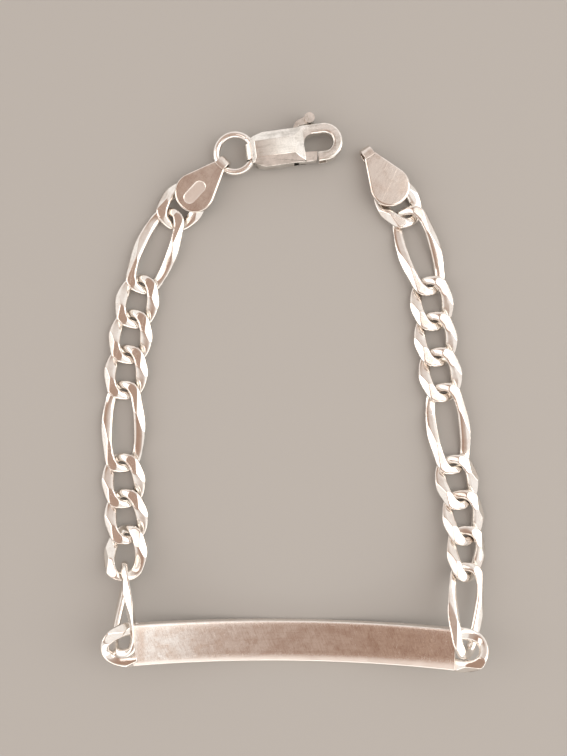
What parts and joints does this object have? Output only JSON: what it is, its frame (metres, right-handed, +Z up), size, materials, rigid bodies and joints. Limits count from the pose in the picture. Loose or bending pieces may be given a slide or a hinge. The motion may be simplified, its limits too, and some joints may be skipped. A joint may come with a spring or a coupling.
{
  "type": "id bracelet",
  "caption": "Curved name bar on a flattened figaro chain of twisted oval links, with an end tag on each side, a jump ring and a sprung trigger clasp; shown unfastened.",
  "frame": {"origin": "centre of the bounding box on the flat surface that the bracelet lies on", "axes": "+X along the name bar, +Y from the bar towards the clasp's side of the loop, +Z up from the surface, with the bar's back upward"},
  "size_m": [0.0477, 0.0678, 0.0062],
  "materials": {
    "silver": "polished silver with fine wear scratches"
  },
  "bodies": {
    "bracelet": {"bar": "silver", "tag_left": "silver", "tag_right": "silver", "left_link_1": "silver", "left_link_2": "silver", "left_link_3": "silver", "left_link_4": "silver", "left_link_5": "silver", "left_link_6": "silver", "left_link_7": "silver", "left_link_8": "silver", "left_link_9": "silver", "right_link_1": "silver", "right_link_2": "silver", "right_link_3": "silver", "right_link_4": "silver", "right_link_5": "silver", "right_link_6": "silver", "right_link_7": "silver", "right_link_8": "silver", "right_link_9": "silver", "jump_ring": "silver", "clasp_body": "silver", "clasp_pin": "silver"},
    "lever": {"clasp_lever": "silver"}
  },
  "joints": [
    {"name": "lever_hinge", "type": "hinge", "parent": "bracelet", "child": "lever", "pos_m": [-0.00018, 0.02876, 0.0015], "axis": [0, 0, 1], "range_deg": [0, 28], "stiffness_Nm_per_rad": 0.02}
  ]
}
